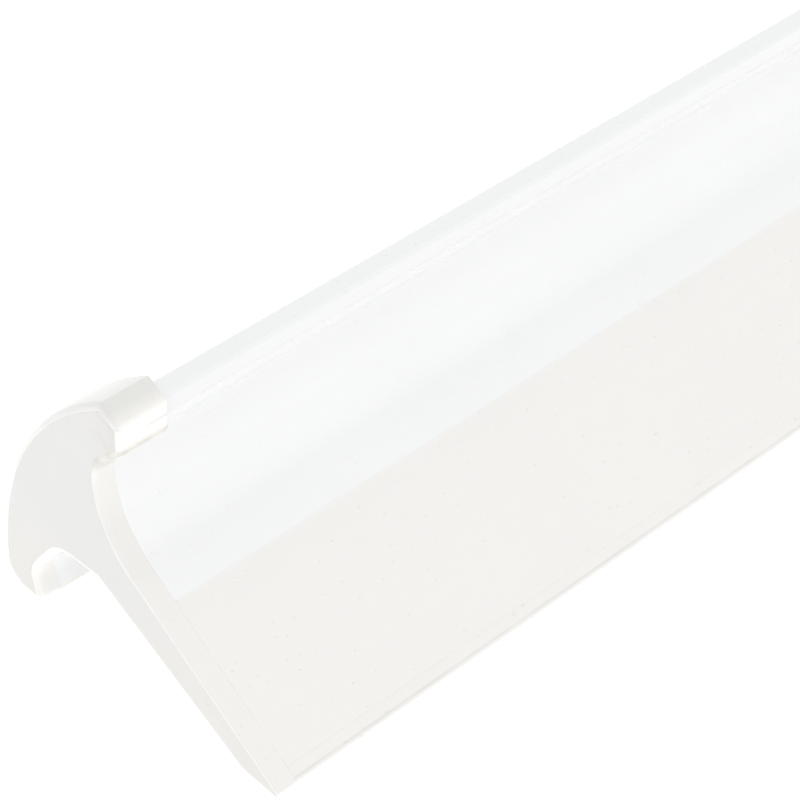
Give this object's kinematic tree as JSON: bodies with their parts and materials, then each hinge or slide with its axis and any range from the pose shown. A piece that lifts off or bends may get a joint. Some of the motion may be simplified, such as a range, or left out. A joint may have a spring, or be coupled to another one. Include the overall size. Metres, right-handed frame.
{
  "type": "door sweep",
  "caption": "White drip-bar door sweep: a hollow bar with moulded end caps that clips onto a mounting strip screwed to the door's foot.",
  "frame": {"origin": "middle of the sweep's door face: half way along the door and across the bar, on the face of the door", "axes": "+X along the door to the right end cap, +Y up the door from the fin's lower edge to the hook, +Z out of the door"},
  "size_m": [0.914, 0.048, 0.04],
  "materials": {
    "white_upvc": "glossy white extruded uPVC",
    "soft_white_pvc": "soft matt white PVC",
    "cap_plastic": "satin moulded, slightly warmer white",
    "strip_aluminium": "mill-finish extruded aluminium",
    "foam": "white closed-cell foam tape",
    "spring_steel": "stainless spring steel",
    "rivet_aluminium": "plain aluminium"
  },
  "bodies": {
    "fixing": {"mounting_strip": "strip_aluminium", "foam_tape_upper": "foam", "foam_tape_lower": "foam", "spring_clip_1": "spring_steel", "spring_clip_2": "spring_steel", "spring_clip_3": "spring_steel", "spring_clip_4": "spring_steel", "spring_clip_5": "spring_steel", "clip_rivets": "rivet_aluminium"},
    "cover": {"cover_profile": "white_upvc", "hook_seal": "soft_white_pvc", "edge_seal": "soft_white_pvc"},
    "left_cap": {"end_cap_left": "cap_plastic"},
    "right_cap": {"end_cap_right": "cap_plastic"}
  },
  "joints": [
    {"name": "cover_pull_off", "type": "slide", "parent": "fixing", "child": "cover", "axis": [0, 0, 1], "range_m": [0, 0.015]},
    {"name": "left_cap_pull", "type": "slide", "parent": "cover", "child": "left_cap", "axis": [-1, 0, 0], "range_m": [0, 0.01]},
    {"name": "right_cap_pull", "type": "slide", "parent": "cover", "child": "right_cap", "axis": [1, 0, 0], "range_m": [0, 0.01]}
  ]
}
